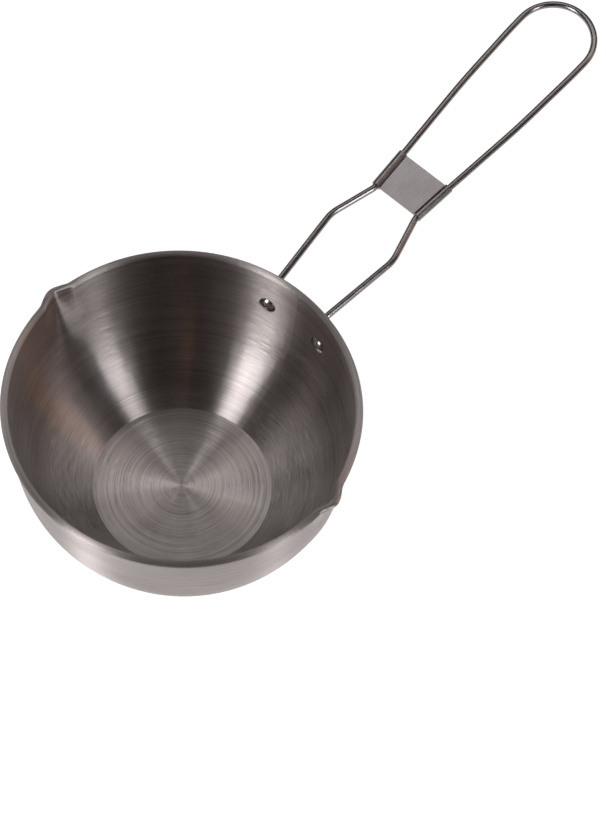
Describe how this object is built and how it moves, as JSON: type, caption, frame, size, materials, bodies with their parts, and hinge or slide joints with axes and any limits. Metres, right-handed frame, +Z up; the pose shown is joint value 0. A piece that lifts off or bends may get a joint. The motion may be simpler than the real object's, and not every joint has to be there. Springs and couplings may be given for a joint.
{
  "type": "melting pot",
  "caption": "Small open pouring pot with a flat turned floor, rolled rim, pinched spouts on both sides and a fold-down bent-wire loop handle stiffened by a crimped cross plate.",
  "frame": {"origin": "centre of the flat underside of the base, on the pot's axis", "axes": "+Z up the pot's axis, +X out along the handle, the pouring spouts near +Y and -Y"},
  "size_m": [0.3317, 0.1566, 0.0938],
  "materials": {
    "brushed_body": "stainless steel brushed round the axis, turned rings on the floor",
    "wire": "bright drawn stainless wire, lightly polished",
    "brace_plate": "stainless sheet brushed along the handle",
    "bracket_plate": "stainless sheet, finely brushed",
    "rivet": "polished domed stainless rivets"
  },
  "bodies": {
    "pot": {"pot_body": "brushed_body", "handle_bracket": "bracket_plate", "rivet_left": "rivet", "rivet_right": "rivet"},
    "handle": {"handle_wire": "wire", "handle_brace": "brace_plate"}
  },
  "joints": [
    {"name": "handle_fold", "type": "hinge", "parent": "pot", "child": "handle", "pos_m": [0.07405, 0, 0.0588], "axis": [0, 1, 0], "range_deg": [0, 128]}
  ]
}
